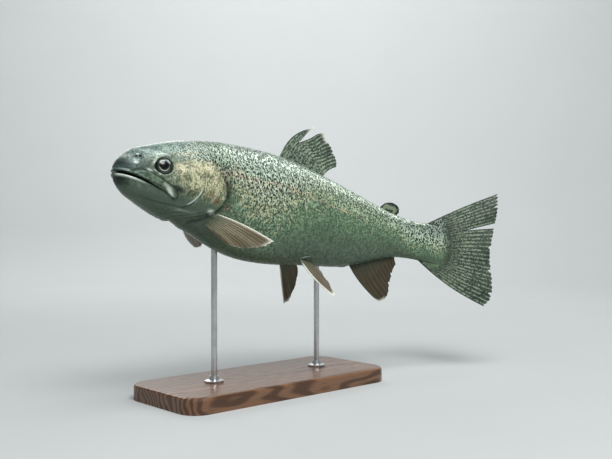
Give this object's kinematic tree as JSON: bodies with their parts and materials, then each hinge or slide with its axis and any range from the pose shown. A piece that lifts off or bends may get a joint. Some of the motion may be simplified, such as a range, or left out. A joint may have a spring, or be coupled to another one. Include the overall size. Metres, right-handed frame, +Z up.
{
  "type": "rainbow trout model",
  "caption": "Life-size still model of a rainbow trout swimming in a gentle curve, mouth just open, held over a flat base by upright rods.",
  "frame": {"origin": "centre of the base's flat underside, on the surface it stands on", "axes": "+X from the fish's head towards its tail along the base, +Y towards the fish's right side, +Z up"},
  "size_m": [0.5766, 0.1614, 0.3218],
  "materials": {
    "trout_skin": "painted, satin, silvery olive with small black spots",
    "gill_cover": "painted, satin, golden bronze",
    "jaw": "painted, satin, grey-green",
    "fin": "thin, ribbed by the fin rays, translucent at the edges",
    "eye": "polished, black pupil in a silvery gold ring",
    "stand_wood": "walnut, satin varnish",
    "stand_steel": "brushed"
  },
  "bodies": {
    "root": {"head": "trout_skin", "lower_jaw": "jaw", "maxilla_left": "jaw", "maxilla_right": "jaw", "gill_cover_left": "gill_cover", "gill_cover_right": "gill_cover", "eye_left": "eye", "eye_right": "eye", "trunk": "trout_skin", "tail_stalk": "trout_skin", "dorsal_fin": "fin", "adipose_fin": "fin", "anal_fin": "fin", "caudal_fin": "fin", "pectoral_fin_left": "fin", "pectoral_fin_right": "fin", "pelvic_fin_left": "fin", "pelvic_fin_right": "fin", "stand_base": "stand_wood", "stand_rod_front": "stand_steel", "stand_rod_rear": "stand_steel", "stand_collar_front": "stand_steel", "stand_collar_rear": "stand_steel"}
  },
  "joints": []
}
